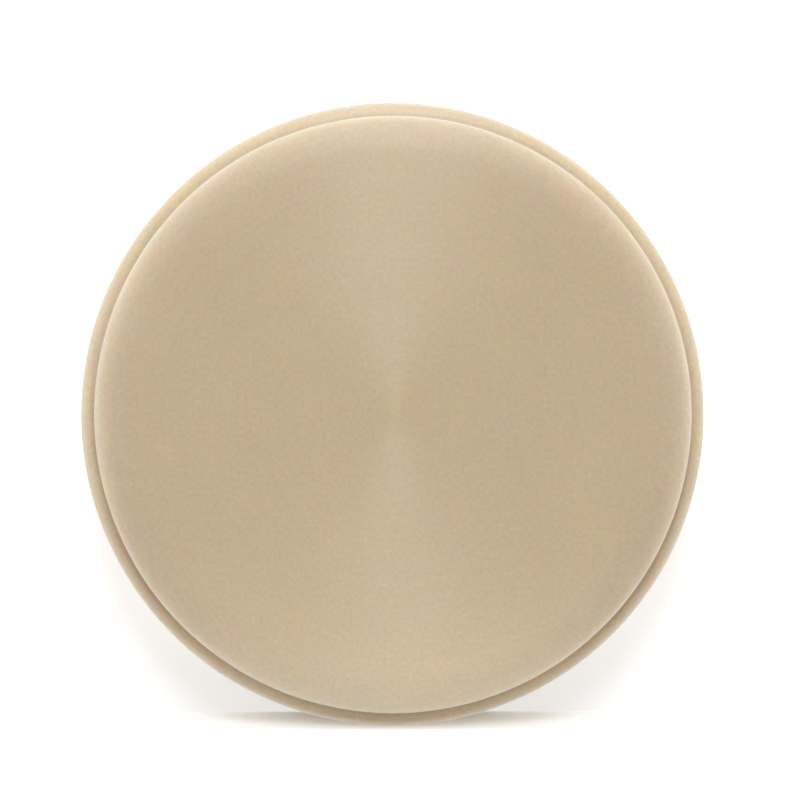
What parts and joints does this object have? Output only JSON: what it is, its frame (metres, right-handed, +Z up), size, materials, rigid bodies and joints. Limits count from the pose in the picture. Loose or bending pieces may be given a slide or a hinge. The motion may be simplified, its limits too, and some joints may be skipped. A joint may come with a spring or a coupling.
{
  "type": "shaving soap puck",
  "caption": "Round puck of hard shaving soap: a wide cylindrical band, a slightly smaller raised face with a softly rounded shoulder, and a flat base that rests in a bowl.",
  "frame": {"origin": "centre of the flat base, on the surface that the puck lies on", "axes": "+Z up along the puck's axis, from the base to the raised face; X and Y lie across it, and any two such directions are alike, because the puck is a turned shape"},
  "size_m": [0.065, 0.065, 0.02],
  "materials": {
    "soap": "matte"
  },
  "bodies": {
    "root": {"soap_puck": "soap"}
  },
  "joints": []
}
